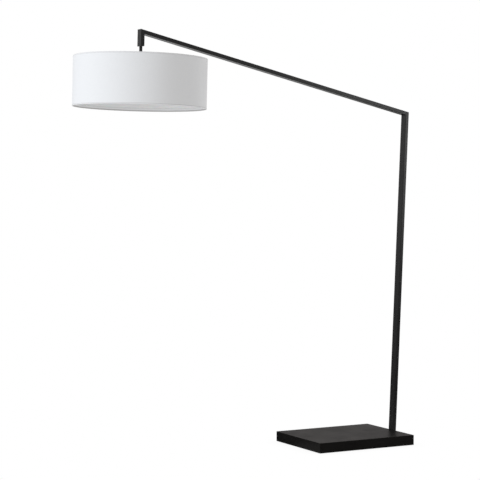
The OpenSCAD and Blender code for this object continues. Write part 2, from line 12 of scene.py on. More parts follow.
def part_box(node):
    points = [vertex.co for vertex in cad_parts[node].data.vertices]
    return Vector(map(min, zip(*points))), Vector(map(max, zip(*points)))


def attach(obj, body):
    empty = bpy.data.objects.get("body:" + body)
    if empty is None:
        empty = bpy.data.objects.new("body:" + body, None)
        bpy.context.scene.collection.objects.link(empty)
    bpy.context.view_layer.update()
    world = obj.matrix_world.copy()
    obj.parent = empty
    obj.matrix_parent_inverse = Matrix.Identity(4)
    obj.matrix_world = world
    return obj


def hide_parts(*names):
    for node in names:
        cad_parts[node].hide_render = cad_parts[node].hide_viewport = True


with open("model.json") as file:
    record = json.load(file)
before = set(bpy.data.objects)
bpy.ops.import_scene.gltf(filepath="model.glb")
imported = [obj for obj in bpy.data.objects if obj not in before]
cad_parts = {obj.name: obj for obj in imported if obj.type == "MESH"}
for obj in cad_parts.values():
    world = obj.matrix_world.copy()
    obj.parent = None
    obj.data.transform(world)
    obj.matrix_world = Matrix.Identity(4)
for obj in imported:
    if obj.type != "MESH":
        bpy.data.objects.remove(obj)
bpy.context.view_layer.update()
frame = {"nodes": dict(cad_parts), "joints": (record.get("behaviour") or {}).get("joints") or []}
nodes = frame["nodes"]
MM = 0.001

# ---------- camera ----------

EYE = Vector((-4.6290, -7.3766, 1.4334))
YAW, PITCH, ROLL = (math.radians(a) for a in (28.313, -2.075, 0.043))
FOCAL, SENSOR = 119.07, 36.0  # millimetres

ahead = Vector((math.sin(YAW) * math.cos(PITCH), math.cos(YAW) * math.cos(PITCH), math.sin(PITCH)))
level = Vector((math.cos(YAW), -math.sin(YAW), 0.0))
upright = level.cross(ahead)
right = math.cos(ROLL) * level + math.sin(ROLL) * upright
up = math.cos(ROLL) * upright - math.sin(ROLL) * level

lens = bpy.data.cameras.new("camera")
lens.lens = FOCAL
lens.sensor_width = SENSOR
lens.clip_end = 200.0
camera = bpy.data.objects.new("camera", lens)
camera.matrix_world = Matrix.Translation(EYE) @ Matrix((right, up, -ahead)).transposed().to_4x4()
bpy.context.scene.collection.objects.link(camera)
bpy.context.scene.camera = camera

# ---------- shader helpers ----------


class Graph:
    """A node tree with short ways to add nodes; its textures read a piece's own place, in metres."""

    def __init__(self, tree):
        self.tree = tree

    def node(self, kind, settings=None, **inputs):
        made = self.tree.nodes.new(kind)
        for key, value in (settings or {}).items():
            setattr(made, key, value)
        for key, value in inputs.items():
            self.feed(made.inputs[key.replace("_", " ")], value)
        return made

    def feed(self, socket, value):
        if isinstance(value, bpy.types.NodeSocket):
            self.tree.links.new(value, socket)
        else:
            socket.default_value = value

    def math(self, operation, a, b=0.0):
        made = self.tree.nodes.new("ShaderNodeMath")
        made.operation = operation
        for socket, value in zip(made.inputs, (a, b)):
            self.feed(socket, value)
        return made.outputs[0]

    def remap(self, value, low, high, to_low=0.0, to_high=1.0, smooth=False):
        made = self.tree.nodes.new("ShaderNodeMapRange")
        made.interpolation_type = "SMOOTHSTEP" if smooth else "LINEAR"
        for socket, v in zip(made.inputs, (value, low, high, to_low, to_high)):
            self.feed(socket, v)
        return made.outputs[0]

    def blend(self, share, dark, light):
        made = self.tree.nodes.new("ShaderNodeMix")
        made.data_type = "RGBA"
        factor, first, second, result = made.inputs[0], made.inputs[6], made.inputs[7], made.outputs[2]
        self.feed(factor, share)
        self.feed(first, (*dark, 1.0) if isinstance(dark, tuple) else dark)
        self.feed(second, (*light, 1.0) if isinstance(light, tuple) else light)
        return result


class Finish(Graph):
    """A material with one Principled shader; keywords set the shader's own sockets."""

    def __init__(self, name, **sockets):
        self.name = name
        self.material = bpy.data.materials.new(name)
        self.material.use_nodes = True
        super().__init__(self.material.node_tree)
        self.shader = self.tree.nodes["Principled BSDF"]
        for key, value in sockets.items():
            self.feed(self.shader.inputs[key.replace("_", " ")], value)
        self.place = self.node("ShaderNodeTexCoord").outputs["Object"]
        self.normal = None

    def scaled(self, stretch, source=None):
        made = self.node("ShaderNodeMapping")
        self.feed(made.inputs["Vector"], source or self.place)
        made.inputs["Scale"].default_value = stretch
        return made.outputs[0]

    def noise(self, scale, stretch=(1, 1, 1), detail=3.0, rough=0.5, source=None):
        """Noise about 1/scale metres across, squeezed by stretch."""
        made = self.tree.nodes.new("ShaderNodeTexNoise")
        self.feed(made.inputs["Vector"], self.scaled(stretch, source))
        self.feed(made.inputs["Scale"], scale)
        self.feed(made.inputs["Detail"], detail)
        self.feed(made.inputs["Roughness"], rough)
        return made.outputs[0]

    def spread(self, noise, low=0.0, high=1.0):
        """Stretches a noise, most of which lies between 0.3 and 0.7, over that range."""
        return self.remap(noise, 0.3, 0.7, low, high)

    def colour(self, value):
        self.feed(self.shader.inputs["Base Color"], value)

    def rough(self, value):
        self.feed(self.shader.inputs["Roughness"], value)

    def bump(self, height, depth, strength=1.0):
        """Adds relief of that depth in metres over what is there already."""
        made = self.tree.nodes.new("ShaderNodeBump")
        self.feed(made.inputs["Strength"], strength)
        self.feed(made.inputs["Distance"], depth)
        self.feed(made.inputs["Height"], height)
        if self.normal is not None:
            self.feed(made.inputs["Normal"], self.normal)
        self.normal = made.outputs[0]
        self.feed(self.shader.inputs["Normal"], self.normal)


# ---------- finishes ----------


def powder_coat():
    f = Finish("tube_paint", Specular_IOR_Level=0.42)
    broad = f.noise(5, detail=2)
    fine = f.noise(420, detail=2)
    f.colour(f.blend(f.spread(broad), (0.0115, 0.0113, 0.0112), (0.0150, 0.0147, 0.0144)))
    f.rough(f.spread(f.noise(70, detail=4), 0.25, 0.33))
    f.bump(fine, 0.05 * MM)
    f.bump(f.noise(2600, detail=1), 0.008 * MM)
    return f


def lacquered_board():
    f = Finish("base_finish", Specular_IOR_Level=0.40, Specular_Tint=(1.0, 0.965, 0.94, 1.0))
    grain = f.noise(14, stretch=(0.5, 9, 9), detail=6, rough=0.62)
    pores = f.noise(260, stretch=(0.12, 3, 3), detail=3, rough=0.6)
    streaks = f.remap(grain, 0.32, 0.68)
    f.colour(f.blend(streaks, (0.0036, 0.0031, 0.0029), (0.0064, 0.0053, 0.0048)))
    smear = f.noise(11, detail=5, rough=0.6)
    f.rough(f.spread(smear, 0.33, 0.41))
    f.bump(pores, 0.05 * MM, 0.5)
    f.bump(f.noise(700, detail=2), 0.012 * MM)
    return f


def cast_iron():
    f = Finish("ballast_iron", Specular_IOR_Level=0.4)
    lumps = f.noise(160, detail=6, rough=0.65)
    rust = f.remap(f.noise(22, detail=6, rough=0.7), 0.56, 0.70, smooth=True)
    grey = f.blend(f.spread(lumps), (0.075, 0.076, 0.078), (0.15, 0.15, 0.152))
    f.colour(f.blend(rust, grey, (0.13, 0.052, 0.022)))
    f.rough(f.spread(lumps, 0.72, 0.55))
    f.bump(lumps, 0.45 * MM)
    f.bump(f.noise(900, detail=3), 0.09 * MM)
    return f


def hardboard():
    f = Finish("panel_board", Specular_IOR_Level=0.25)
    fibres = f.noise(520, stretch=(1, 0.22, 1), detail=5, rough=0.7)
    flecks = f.remap(f.noise(950, stretch=(0.3, 1, 1), detail=2), 0.60, 0.72)
    brown = f.blend(f.spread(fibres), (0.105, 0.060, 0.034), (0.215, 0.135, 0.080))
    f.colour(f.blend(flecks, brown, (0.045, 0.024, 0.014)))
    f.rough(f.spread(fibres, 0.85, 0.68))
    f.bump(fibres, 0.08 * MM)
    return f


def felt():
    f = Finish("pad_felt", Sheen_Weight=0.35, Sheen_Roughness=0.6, Specular_IOR_Level=0.1)
    clumps = f.noise(180, detail=6, rough=0.75)
    strands = f.noise(1500, stretch=(1, 0.25, 1), detail=4, rough=0.8)
    f.colour(f.blend(f.spread(clumps), (0.010, 0.010, 0.011), (0.030, 0.030, 0.031)))
    f.rough(f.spread(strands, 1.0, 0.86))
    f.bump(clumps, 0.35 * MM)
    f.bump(strands, 0.12 * MM)
    return f


def plated_steel():
    f = Finish("zinc_steel", Metallic=1.0)
    tint = f.noise(90, detail=4, rough=0.6)
    lines = f.noise(900, stretch=(1, 1, 0.12), detail=3)
    f.colour(f.blend(f.spread(tint), (0.50, 0.515, 0.545), (0.68, 0.665, 0.625)))
    f.rough(f.spread(lines, 0.26, 0.44))
    f.bump(lines, 0.012 * MM)
    return f


def moulded_black():
    f = Finish("black_plastic", Specular_IOR_Level=0.45)
    spark = f.noise(1900, detail=2, rough=0.6)
    f.colour(f.blend(f.spread(f.noise(60)), (0.011, 0.011, 0.012), (0.019, 0.019, 0.020)))
    f.rough(f.spread(spark, 0.44, 0.60))
    f.bump(spark, 0.03 * MM)
    return f


def natural_nylon():
    f = Finish("nylon", Subsurface_Weight=0.12, Subsurface_Scale=0.002, Specular_IOR_Level=0.45)
    swirl = f.noise(240, detail=4, rough=0.6)
    f.colour(f.blend(f.spread(swirl), (0.66, 0.63, 0.55), (0.78, 0.76, 0.69)))
    f.rough(f.spread(swirl, 0.36, 0.5))
    f.bump(f.noise(1200, detail=2), 0.015 * MM)
    return f


def turned_brass():
    f = Finish("brass", Metallic=1.0)
    tarnish = f.remap(f.noise(150, detail=5, rough=0.65), 0.42, 0.68)
    cuts = f.noise(220, stretch=(0.2, 0.2, 30), detail=2)
    f.colour(f.blend(tarnish, (0.80, 0.60, 0.27), (0.54, 0.37, 0.15)))
    f.rough(f.spread(cuts, 0.22, 0.40))
    f.bump(cuts, 0.02 * MM)
    return f


def rubber_sheath():
    f = Finish("lead_sheath", Specular_IOR_Level=0.35)
    lines = f.noise(900, stretch=(1, 1, 0.1), detail=2)
    f.colour(f.blend(f.spread(lines), (0.010, 0.010, 0.010), (0.018, 0.018, 0.019)))
    f.rough(f.spread(f.noise(300), 0.55, 0.70))
    f.bump(lines, 0.02 * MM)
    return f


def phenolic():
    f = Finish("phenolic", Specular_IOR_Level=0.5)
    marble = f.remap(f.noise(190, detail=6, rough=0.7), 0.42, 0.62)
    f.colour(f.blend(marble, (0.020, 0.008, 0.005), (0.075, 0.030, 0.015)))
    f.rough(f.spread(f.noise(80), 0.18, 0.30))
    f.bump(f.noise(800, detail=2), 0.01 * MM)
    return f


def epoxy_wire():
    f = Finish("frame_wire", Specular_IOR_Level=0.5)
    peel = f.noise(500, detail=2)
    f.colour(f.blend(f.spread(f.noise(30)), (0.76, 0.76, 0.755), (0.83, 0.83, 0.82)))
    f.rough(f.spread(peel, 0.28, 0.4))
    f.bump(peel, 0.05 * MM)
    return f


def woven_cloth():
    """White plain weave; its UV map runs round the shade and up it, in metres."""
    f = Finish("shade_cloth", Specular_IOR_Level=0.18, Sheen_Weight=0.12, Sheen_Roughness=0.5)
    thread = 0.62 * MM
    uv = f.node("ShaderNodeUVMap", {"uv_map": "cut"}).outputs[0]
    bend = f.noise(90, detail=2, source=uv)
    split = f.node("ShaderNodeSeparateXYZ")
    f.feed(split.inputs[0], uv)
    turns = 2 * math.pi / thread
    wander = f.math("MULTIPLY", f.math("SUBTRACT", bend, 0.5), 1.6)
    warp = f.math("SINE", f.math("ADD", f.math("MULTIPLY", split.outputs[0], turns), wander))
    weft = f.math("SINE", f.math("ADD", f.math("MULTIPLY", split.outputs[1], turns), wander))
    weave = f.remap(f.math("MULTIPLY", warp, weft), -1.0, 1.0)
    slub_across = f.noise(700, stretch=(0.045, 1, 1), detail=3, rough=0.6, source=uv)
    slub_up = f.noise(700, stretch=(1, 0.045, 1), detail=3, rough=0.6, source=uv)
    slubs = f.math("MAXIMUM", slub_across, slub_up)
    thick_threads = f.remap(slubs, 0.35, 0.8)
    tone = f.math("ADD", f.math("MULTIPLY", weave, 0.35), f.math("MULTIPLY", thick_threads, 0.65))
    clean = f.blend(tone, (0.800, 0.800, 0.806), (0.868, 0.868, 0.872))
    # Painted shade: the colour darkens towards grey-brown where the attribute that shade_cloth writes is
    # high, in and beside each rolled rim.
    painted_fold_shade = f.node("ShaderNodeAttribute", {"attribute_name": "painted_fold_shade"}).outputs["Fac"]
    f.colour(f.blend(painted_fold_shade, clean, (0.30, 0.285, 0.27)))
    f.rough(f.remap(slubs, 0.3, 0.8, 0.9, 0.74))
    f.bump(weave, 0.09 * MM, 0.6)
    f.bump(slubs, 0.10 * MM, 0.6)
    return f


def opaline_liner():
    f = Finish("shade_liner", Specular_IOR_Level=0.4, Subsurface_Weight=0.08, Subsurface_Scale=0.001)
    mottle = f.noise(55, detail=4, rough=0.6)
    f.colour(f.blend(f.spread(mottle), (0.845, 0.845, 0.845), (0.880, 0.880, 0.878)))
    f.rough(f.spread(mottle, 0.42, 0.55))
    f.bump(f.noise(300, detail=3), 0.02 * MM)
    return f


def rolled_aluminium():
    f = Finish("bulb_screw", Metallic=1.0)
    smear = f.noise(260, stretch=(1, 1, 0.3), detail=4, rough=0.6)
    f.colour(f.blend(f.spread(smear), (0.62, 0.62, 0.63), (0.78, 0.78, 0.775)))
    f.rough(f.spread(smear, 0.2, 0.38))
    f.bump(smear, 0.015 * MM)
    return f


def white_collar():
    f = Finish("bulb_plastic", Specular_IOR_Level=0.5, Subsurface_Weight=0.1, Subsurface_Scale=0.001)
    flow = f.noise(70, detail=3)
    f.colour(f.blend(f.spread(flow), (0.80, 0.80, 0.795), (0.86, 0.86, 0.85)))
    f.rough(f.spread(flow, 0.24, 0.34))
    f.bump(f.noise(700, detail=2), 0.008 * MM)
    return f


def frosted_dome():
    f = Finish("bulb_diffuser", Specular_IOR_Level=0.4, Subsurface_Weight=0.25, Subsurface_Scale=0.004)
    frost = f.noise(1400, detail=2)
    f.colour(f.blend(f.spread(f.noise(40)), (0.83, 0.83, 0.815), (0.89, 0.89, 0.875)))
    f.rough(f.spread(frost, 0.52, 0.64))
    f.bump(frost, 0.012 * MM)
    return f


FINISHES = {
    made.name: made.material
    for made in (
        powder_coat(), lacquered_board(), cast_iron(), hardboard(), felt(), plated_steel(),
        moulded_black(), natural_nylon(), turned_brass(), rubber_sheath(), phenolic(), epoxy_wire(),
        woven_cloth(), opaline_liner(), rolled_aluminium(), white_collar(), frosted_dome(),
    )
}

# The nodes that wear each finish; every other node wears zinc_steel.
WORN_BY = {
    "pad_felt": ["floor_pad"],
    "base_finish": ["base_block"],
    "ballast_iron": ["ballast_slab_left", "ballast_slab_right"],
    "panel_board": ["base_bottom_panel"],
    "tube_paint": [
        "taper_spacer", "pole_lower", "pole_upper", "arm_rear", "arm_front", "drop_tube",
        "drop_end_plate", "stem_sleeve",
    ],
    "black_plastic": ["pole_end_plug", "cord_gland", "holder_cap", "holder_shell", "switch_knob"],
    "nylon": ["swivel_bush", "lead_connector", "drop_connector"],
    "brass": ["swivel_nut", "threaded_nipple", "hub_nut", "screw_shell", "centre_contact"],
    "lead_sheath": ["inner_lead", "stem_lead"],
    "phenolic": ["switch_block"],
    "frame_wire": ["spider_hub", "spider_arms", "top_ring", "bottom_ring"],
    "shade_cloth": ["top_hem", "bottom_hem", "shade_cloth"],
    "shade_liner": ["shade_liner"],
    "bulb_screw": ["bulb_cap"],
    "bulb_plastic": ["bulb_collar"],
    "bulb_diffuser": ["bulb_dome"],
}
WEARS = dict.fromkeys(nodes, "zinc_steel")
WEARS.update({node: finish for finish, worn in WORN_BY.items() for node in worn})

for name, node in nodes.items():
    wears = WEARS[name]
    node.data.materials.clear()
    node.data.materials.append(FINISHES[wears])

# ---------- mesh helpers ----------

swivel = next(j for j in frame["joints"] if j["name"] == "shade_swivel")
head_z = Vector(swivel["axis"]).normalized()
head_y = Vector((0.0, 1.0, 0.0))
HEAD = Matrix((head_y.cross(head_z), head_y, head_z)).transposed().to_4x4()
HEAD.translation = Vector(swivel["pos_m"])

CRISP = 32  # degrees: an eased piece stays crisp at sharper edges than this
FULL_TURN = 6.28  # radians, for random phases


def span(node):
    """Heights and radii that a CAD node covers about the shade's axis: (low, high, inner, outer)."""
    back = HEAD.inverted()
    points = np.array([back @ v.co for v in nodes[node].data.vertices])
    radii = np.hypot(points[:, 0], points[:, 1])
    return points[:, 2].min(), points[:, 2].max(), radii.min(), radii.max()


def piece(name, mesh, body, slot, replaced):
    """Hands a mesh over as a visible piece that rides on a body and stands for CAD nodes."""
    made = bpy.data.objects.new(name, mesh)
    bpy.context.scene.collection.objects.link(made)
    if not mesh.materials:
        mesh.materials.append(FINISHES[slot])
    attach(made, body)
    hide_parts(*replaced)
    return made


def shade_by_angle(mesh, degrees):
    """Smooth faces that stay crisp at edges sharper than that."""
    bm = bmesh.new()
    bm.from_mesh(mesh)
    for face in bm.faces:
        face.smooth = True
    for edge in bm.edges:
        edge.smooth = edge.is_manifold and edge.calc_face_angle(0.0) < math.radians(degrees)
    bm.to_mesh(mesh)
    bm.free()


def flat_where_flat(bm, eased):
    """Corner normals that keep the large faces flat and let only the eased strips turn."""
    bm.faces.index_update()
    bm.normal_update()
    same_face = math.cos(math.radians(CRISP))
    same_side = 0.5
    kept = {}

    def of_face(v, f):
        if (v, f) not in kept:
            total = Vector()
            for g in v.link_faces:
                if g not in eased and g.normal.dot(f.normal) > same_face:
                    total += g.normal * g.calc_area()
            kept[v, f] = total.normalized() if total.length > 0 else f.normal.copy()
        return kept[v, f]

    normals = []
    for f in bm.faces:
        for loop in f.loops:
            v = loop.vert
            if f not in eased:
                normals.append(of_face(v, f))
                continue
            near = [g for g in v.link_faces if g.normal.dot(f.normal) > same_side]
            plain = [g for g in near if g not in eased]
            if plain:
                normals.append(of_face(v, max(plain, key=lambda g: g.normal.dot(f.normal))))
            else:
                normals.append(sum((g.normal for g in near), Vector()).normalized())
    return normals


def softened(node, width, segments, only_outline=False):
    """A copy of a CAD node with its sharp edges eased, standing for it."""
    weld, touching = 1e-6, 1e-5
    flat, sharp_from = math.radians(0.5), math.radians(40)
    bm = bmesh.new()
    bm.from_mesh(nodes[node].data)
    bmesh.ops.remove_doubles(bm, verts=bm.verts, dist=weld)
    bmesh.ops.dissolve_limit(bm, angle_limit=flat, verts=bm.verts, edges=bm.edges)
    low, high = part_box(node)

    def faces_of_box(v):
        return sum(min(abs(v.co[k] - low[k]), abs(v.co[k] - high[k])) < touching for k in range(3))

    sharp = [e for e in bm.edges if e.is_manifold and e.calc_face_angle(0.0) > sharp_from]
    if only_outline:
        sharp = [e for e in sharp if min(faces_of_box(v) for v in e.verts) >= 2]
    made = bmesh.ops.bevel(
        bm, geom=sharp, offset=width, segments=segments, profile=0.5, affect="EDGES", clamp_overlap=True
    )
    normals = flat_where_flat(bm, set(made["faces"]))
    mesh = bpy.data.meshes.new(node + "_eased")
    bm.to_mesh(mesh)
    bm.free()
    for layer in ("custom_normal", "sharp_face"):
        if layer in mesh.attributes:
            mesh.attributes.remove(mesh.attributes[layer])
    shade_by_angle(mesh, CRISP)
    mesh.normals_split_custom_set(normals)
    return piece(node + "_eased", mesh, "stand", WEARS[node], [node])


def grid_mesh(name, rows, uv=None):
    """A mesh about the shade's axis from rows of points, closed both ways. uv(row, k) gives the
    (u, v) of a corner, where row and k may be one past the last."""
    count, width = len(rows), len(rows[0])
    mesh = bpy.data.meshes.new(name)
    points = [p for row in rows for p in row]
    corners = [
        ((i, j), (i, j + 1), (i + 1, j + 1), (i + 1, j)) for i in range(count) for j in range(width)
    ]
    faces = [[(r % count) * width + (k % width) for r, k in four] for four in corners]
    mesh.from_pydata(points, [], faces)
    if uv is not None:
        layer = mesh.uv_layers.new(name="cut")
        layer.data.foreach_set("uv", [c for four in corners for r, k in four for c in uv(r, k)])
    mesh.polygons.foreach_set("use_smooth", [True] * len(mesh.polygons))
    mesh.transform(HEAD)
    mesh.update()
    return mesh


# ---------- base ----------

softened("base_block", 1.1 * MM, 3, only_outline=True)
for slab in ("ballast_slab_left", "ballast_slab_right"):
    softened(slab, 1.6 * MM, 2)
softened("base_bottom_panel", 0.4 * MM, 2, only_outline=True)


def felt_pad():
    """A die-cut felt pad: slightly uneven underneath, with soft edges."""
    low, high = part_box("floor_pad")
    steps_x, steps_y = 96, 76
    rim_inset = 0.25 * (high.z - low.z)
    wander, ripple = 0.25 * MM, 0.06 * MM
    rng = np.random.default_rng(4)
    waves = [
        (rng.uniform(20, 130), rng.uniform(0, FULL_TURN), rng.uniform(0, FULL_TURN)) for _ in range(9)
    ]

    def sag(x, y):
        total = sum(math.sin(k * (x * math.cos(a) + y * math.sin(a)) + b) for k, a, b in waves)
        return total / len(waves)

    def spot(side, i, j):
        """A point of the grid, on the top (side 1) or underneath; the outline wanders inwards."""
        x = low.x + (high.x - low.x) * i / steps_x
        y = low.y + (high.y - low.y) * j / steps_y
        inset = rim_inset if min(i, steps_x - i, j, steps_y - j) == 0 else 0.0
        if i in (0, steps_x):
            x += math.copysign(wander * sag(3 * y, 2 * x), -x)
        if j in (0, steps_y):
            y += math.copysign(wander * sag(2 * x, 3 * y), -y)
        z = high.z - inset if side else low.z + inset + ripple * (1 + sag(x, y))
        return x, y, z

    bm = bmesh.new()
    grid = {
        (side, i, j): bm.verts.new(spot(side, i, j))
        for side in (0, 1) for i in range(steps_x + 1) for j in range(steps_y + 1)
    }
    for i in range(steps_x):
        for j in range(steps_y):
            q = [(i, j), (i + 1, j), (i + 1, j + 1), (i, j + 1)]
            bm.faces.new([grid[1, a, b] for a, b in q])
            bm.faces.new([grid[0, a, b] for a, b in reversed(q)])
    rim = [(i, 0) for i in range(steps_x)] + [(steps_x, j) for j in range(steps_y)]
    rim += [(i, steps_y) for i in range(steps_x, 0, -1)] + [(0, j) for j in range(steps_y, 0, -1)]
    for (a, b), (c, d) in zip(rim, rim[1:] + rim[:1]):
        bm.faces.new([grid[0, a, b], grid[0, c, d], grid[1, c, d], grid[1, a, b]])
    bmesh.ops.recalc_face_normals(bm, faces=bm.faces)
    mesh = bpy.data.meshes.new("felt_sheet")
    bm.to_mesh(mesh)
    bm.free()
    shade_by_angle(mesh, 50)
    pad = piece("felt_sheet", mesh, "stand", "pad_felt", ["floor_pad"])


felt_pad()

# ---------- pole, arm and drop ----------

for key in ("pole_joiner", "arm_joiner", "anchor_bracket", "pole_nut_plate"):
    softened(key, 0.4 * MM, 2)

# ---------- shade ----------

CLOTH_THICK = 0.7 * MM
TURN_IN = 12 * MM
OVERLAP = 11 * MM
SEAM = math.radians(72)  # at the back of the drum


def hem_outline(ring, hem, sign, side_r, flap_r):
    """The cloth from just short of a rim, over its wire ring, to the end of the turn-in. A point is
    (radius, height, how far it is rolled, how far along the flap, how much painted shade darkens its colour
    there)."""
    low, high, inner, outer = span(ring)
    centre_z, centre_r = (low + high) / 2, (inner + outer) / 2
    roll_r = span(hem)[3] - centre_r - CLOTH_THICK / 2
    start = -math.acos((side_r - centre_r) / roll_r)
    end = 2 * math.pi - math.acos(-(centre_r - flap_r) / roll_r)
    steps = 18
    # Painted shade on the cloth: from this angle round the roll, over this many radians, it deepens from
    # its level outside the roll to its level inside it; the crease has a level of its own.
    shade_deepens_at, shade_deepens_over = 1.1, 0.7
    painted_shade_outside, painted_shade_inside, painted_shade_crease = 0.06, 0.60, 0.65
    bead = []
    for k in range(steps + 1):
        a = start + (end - start) * k / steps
        inside = min(1.0, max(0.0, (a - shade_deepens_at) / shade_deepens_over))
        r, z = centre_r + roll_r * math.cos(a), centre_z + sign * roll_r * math.sin(a)
        bead.append((r, z, 1.0, 0.0, painted_shade_outside + (painted_shade_inside - painted_shade_outside) * inside))
    first, last = bead[0][1], bead[-1][1]
    crease_depth, crease_below, crease_from = 0.22 * MM, 0.6 * MM, 1.6 * MM
    # The crease above the roll is real geometry, and its bottom also carries painted shade.
    crease = [
        (side_r, first - sign * crease_from, 0.3, 0.0, 0.0),
        (side_r - crease_depth, first - sign * crease_below, 1.0, 0.0, painted_shade_crease),
    ]
    # The turn-in starts with painted shade that fades out three tenths of the way along it.
    flap = [
        (flap_r, last - sign * TURN_IN * s, 0.0, s, 0.5 * max(0.0, 0.3 - s))
        for s in (0.06, 0.3, 0.55, 0.8, 1.0)
    ]
    return crease + bead + flap


def cloth_outline(side_r, flap_r):
    """The whole cut through the cloth, from the bottom flap's end to the top flap's."""
    bottom = hem_outline("bottom_ring", "bottom_hem", -1, side_r, flap_r)
    top = hem_outline("top_ring", "top_hem", 1, side_r, flap_r)
    low_z, high_z = bottom[0][1], top[0][1]
    steps = 40
    side = [(side_r, low_z + (high_z - low_z) * k / steps, 0.0, 0.0, 0.0) for k in range(1, steps)]
    return bottom[::-1] + side + top


def wrinkles(z, rolled, flap, side_r):
    """A function of the angle round the shade that gives how far each point of the outline strays:
    (outwards from the axis, along the cloth's own normal, away from the rim)."""
    sag, lump, pleat, fray = 0.10 * MM, 0.07 * MM, 0.16 * MM, 0.5 * MM
    lap_step, lap_rise, lap_fall = 0.55 * MM, 2 * MM, 0.8 * MM
    rng = np.random.default_rng(11)
    waves = [
        (int(rng.integers(5, 26)), rng.uniform(0, FULL_TURN), rng.uniform(-9, 9), rng.uniform(0.4, 1))
        for _ in range(10)
    ]
    pucker = rng.uniform(0, FULL_TURN, 4)
    on_flap = flap > 0

    def at(theta):
        pull = sum(h * np.sin(n * theta + p + k * z / 0.25) for n, p, k, h in waves) / 6
        lumps = rolled * math.sin(61 * theta + pucker[0] + 2 * math.sin(9 * theta))
        pleats = flap * math.sin(83 * theta + pucker[1] + 3 * math.sin(7 * theta + pucker[2]))
        edge = (flap == 1.0) * math.sin(37 * theta + 2 * math.sin(11 * theta + pucker[3]))
        past = (theta - SEAM) * side_r
        lap = lap_step * max(0.0, min(1.0, (past + OVERLAP) / lap_rise, (lap_fall - past) / lap_fall))
        outwards = sag * pull * (1 - rolled) + lap * (1 - 0.6 * rolled)
        return np.where(on_flap, -pleat * pleats, outwards), lump * lumps, fray * edge

    return at


def shade_cloth():
    """The cloth of the drum, one sheet: glued round the liner, rolled over both wire rings and
    turned in behind them. Its lap seam is at the back."""
    side_r = span("shade_cloth")[3] - CLOTH_THICK / 2
    flap_r = span("shade_liner")[2] - 0.45 * MM
    path = cloth_outline(side_r, flap_r)
    r, z, rolled, flap, painted_shade_levels = (np.array(c) for c in zip(*path))
    run = np.concatenate([[0.0], np.cumsum(np.hypot(np.diff(r), np.diff(z)))])
    tangent = np.stack([np.gradient(r), np.gradient(z)], 1)
    tangent /= np.linalg.norm(tangent, axis=1)[:, None]
    normal_r, normal_z = tangent[:, 1], -tangent[:, 0]
    down_if_upper = np.where(z > z.mean(), -1, 1)

    # Closer steps at the lap, in degrees, then even ones round the drum
    at_lap = np.radians(np.array([-2.2, -1.9, -1.7, -0.9, -0.3, -0.12, 0.0, 0.12, 0.3, 0.8]))
    turns = SEAM + np.concatenate([at_lap, np.radians(np.linspace(1.4, 357.4, 380))])
    strays = wrinkles(z, rolled, flap, side_r)
    rows = []
    for theta in turns:
        outwards, swell, edge = strays(theta)
        faces = []
        for side in (1, -1):
            away = side * CLOTH_THICK / 2 + swell
            reach = r + outwards + normal_r * away
            height = z + down_if_upper * edge + normal_z * away
            faces.append(np.stack([reach * math.cos(theta), reach * math.sin(theta), height], 1))
        rows.append(np.concatenate([faces[0], faces[1][::-1]]).tolist())
    count = len(path)

    def uv(row, k):
        k = k % (2 * count)
        along = run[k] if k < count else run[2 * count - 1 - k]
        theta = turns[row] if row < len(turns) else turns[0] + 2 * math.pi
        return (theta - turns[0]) * side_r, along

    mesh = grid_mesh("drum_cloth", rows, uv)
    # How much painted shade darkens the cloth at each point of its outline, read by the cloth's finish.
    painted_fold_shade = mesh.attributes.new("painted_fold_shade", "FLOAT", "POINT")
    painted_fold_shade.data.foreach_set("value", np.tile(np.concatenate([painted_shade_levels, painted_shade_levels[::-1]]), len(rows)))
    cloth = piece("drum_cloth", mesh, "shade_head", "shade_cloth", ["shade_cloth", "top_hem", "bottom_hem"])


shade_cloth()

# ---------- lamp holder and bulb ----------

THREAD_PITCH = 3.62 * MM
THREAD_DEPTH = 0.55 * MM


def threaded_wall(name, low, high, mean, thick, slot, replaced):
    """A rolled screw thread between two heights about the shade's axis, as a thin wall."""
    around, steps = 96, int((high - low) / THREAD_PITCH * 14)
    run_out = 0.4 * THREAD_PITCH
    rows = []
    for j in range(around):
        theta = 2 * math.pi * j / around
        wall = []
        for side in (1, -1):
            line = []
            for k in range(steps + 1):
                z = low + (high - low) * k / steps
                fade = min(1.0, (z - low) / run_out, (high - z) / run_out)
                wave = math.cos(2 * math.pi * z / THREAD_PITCH - theta)
                r = mean + fade * THREAD_DEPTH * wave + side * thick / 2
                line.append((r * math.cos(theta), r * math.sin(theta), z))
            wall.append(line)
        rows.append(wall[0] + wall[1][::-1])
    return piece(name, grid_mesh(name, rows), "shade_head", slot, replaced)


def lathe(name, profile, slots, replaced):
    """A turned solid about the shade's axis; a profile's point is (radius, height, index in slots)."""
    around, on_axis = 96, 1e-7
    bm = bmesh.new()
    rings = []
    for r, z, _ in profile:
        if r < on_axis:
            rings.append([bm.verts.new((0, 0, z))] * around)
        else:
            angles = [2 * math.pi * j / around for j in range(around)]
            rings.append([bm.verts.new((r * math.cos(a), r * math.sin(a), z)) for a in angles])
    for i in range(len(profile) - 1):
        for j in range(around):
            k = (j + 1) % around
            corner = [rings[i][j], rings[i][k], rings[i + 1][k], rings[i + 1][j]]
            corner = [v for n, v in enumerate(corner) if v not in corner[:n]]
            face = bm.faces.new(corner)
            face.material_index = profile[i][2]
    bmesh.ops.recalc_face_normals(bm, faces=bm.faces)
    mesh = bpy.data.meshes.new(name)
    bm.to_mesh(mesh)
    bm.free()
    mesh.transform(HEAD)
    for slot in slots:
        mesh.materials.append(FINISHES[slot])
    shade_by_angle(mesh, 35)
    return piece(name, mesh, "shade_head", slots[0], replaced)


